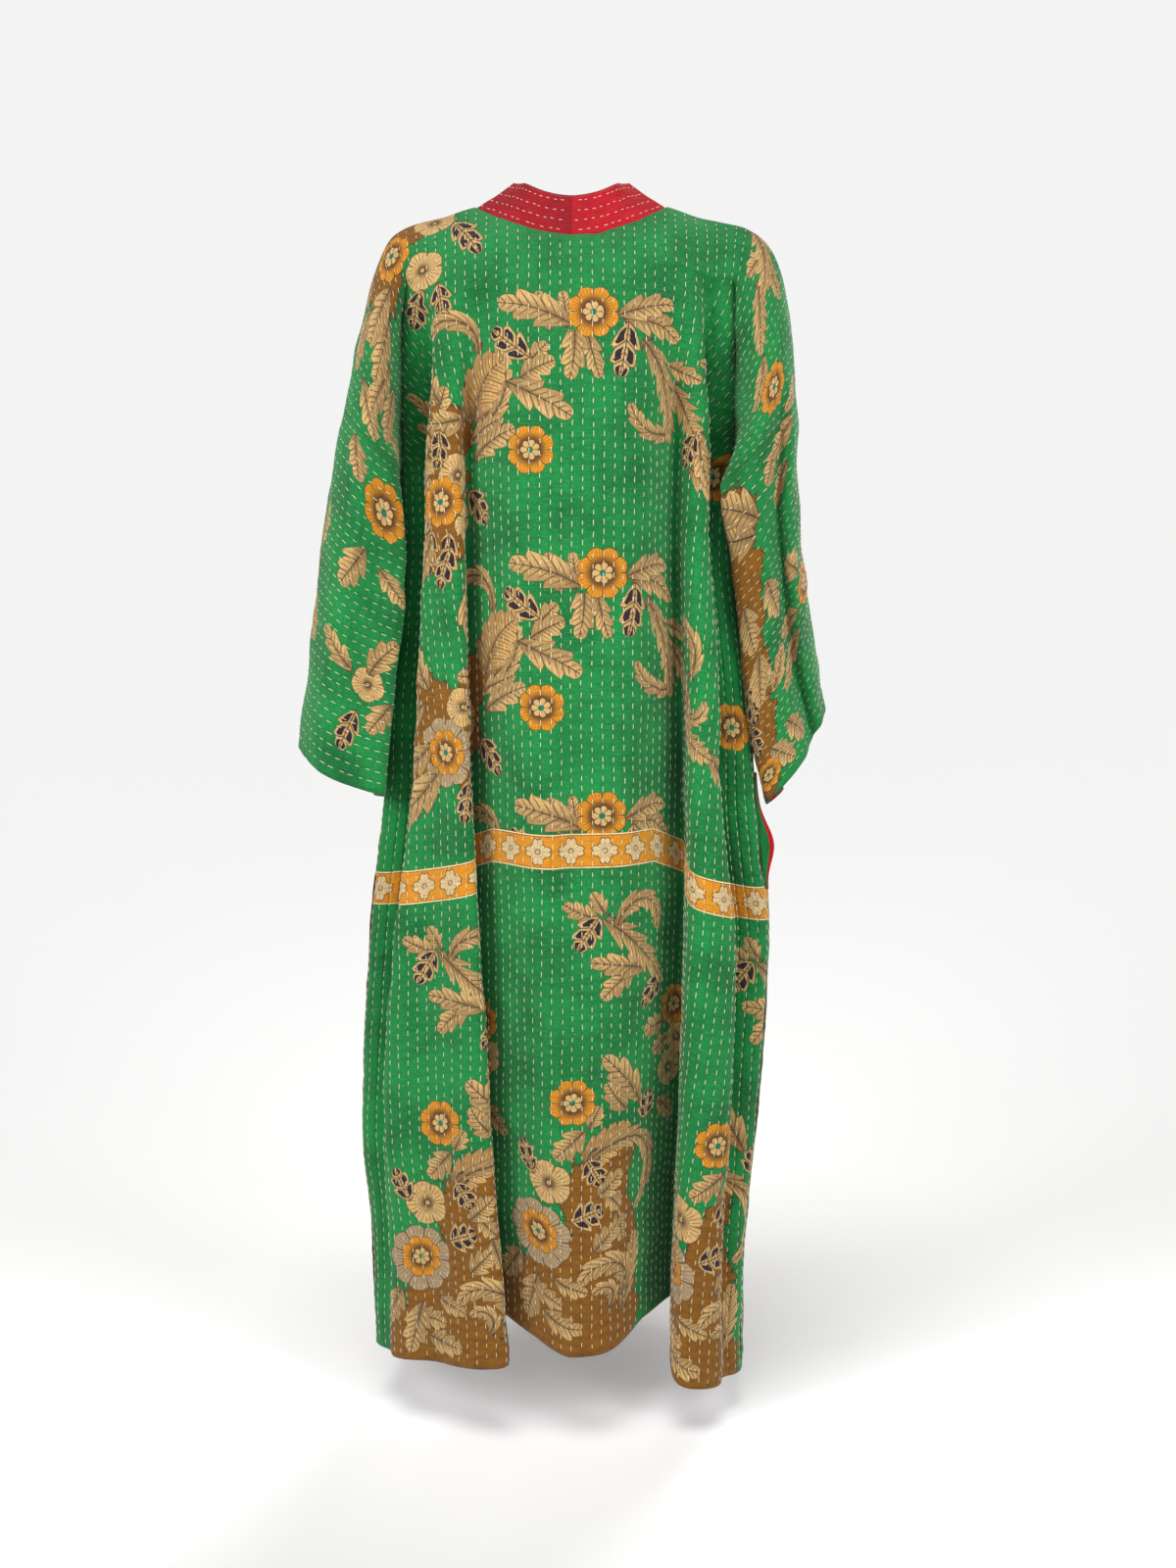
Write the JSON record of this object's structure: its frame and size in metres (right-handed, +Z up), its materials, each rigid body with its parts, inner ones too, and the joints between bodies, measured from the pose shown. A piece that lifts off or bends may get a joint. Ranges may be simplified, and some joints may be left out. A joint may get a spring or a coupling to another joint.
{
  "type": "kimono",
  "caption": "Long open-front kimono robe of running-stitched printed cotton, with dropped shoulders, wide sleeves and a plain neckband, filled out as when worn.",
  "frame": {"origin": "midway between the two neck points of the shoulder seams, where a wearer's shoulders hold the robe up", "axes": "+Z up, -Y towards the wearer's front, +X towards the wearer's left"},
  "size_m": [0.596, 0.2869, 1.3418],
  "materials": {
    "printed_cotton": "matte",
    "red_cotton": "matte"
  },
  "bodies": {
    "root": {"back": "printed_cotton", "front_left": "printed_cotton", "front_right": "printed_cotton", "sleeve_left": "printed_cotton", "sleeve_right": "printed_cotton", "neckband_left": "red_cotton", "neckband_right": "red_cotton", "pocket_binding": "red_cotton"}
  },
  "joints": []
}
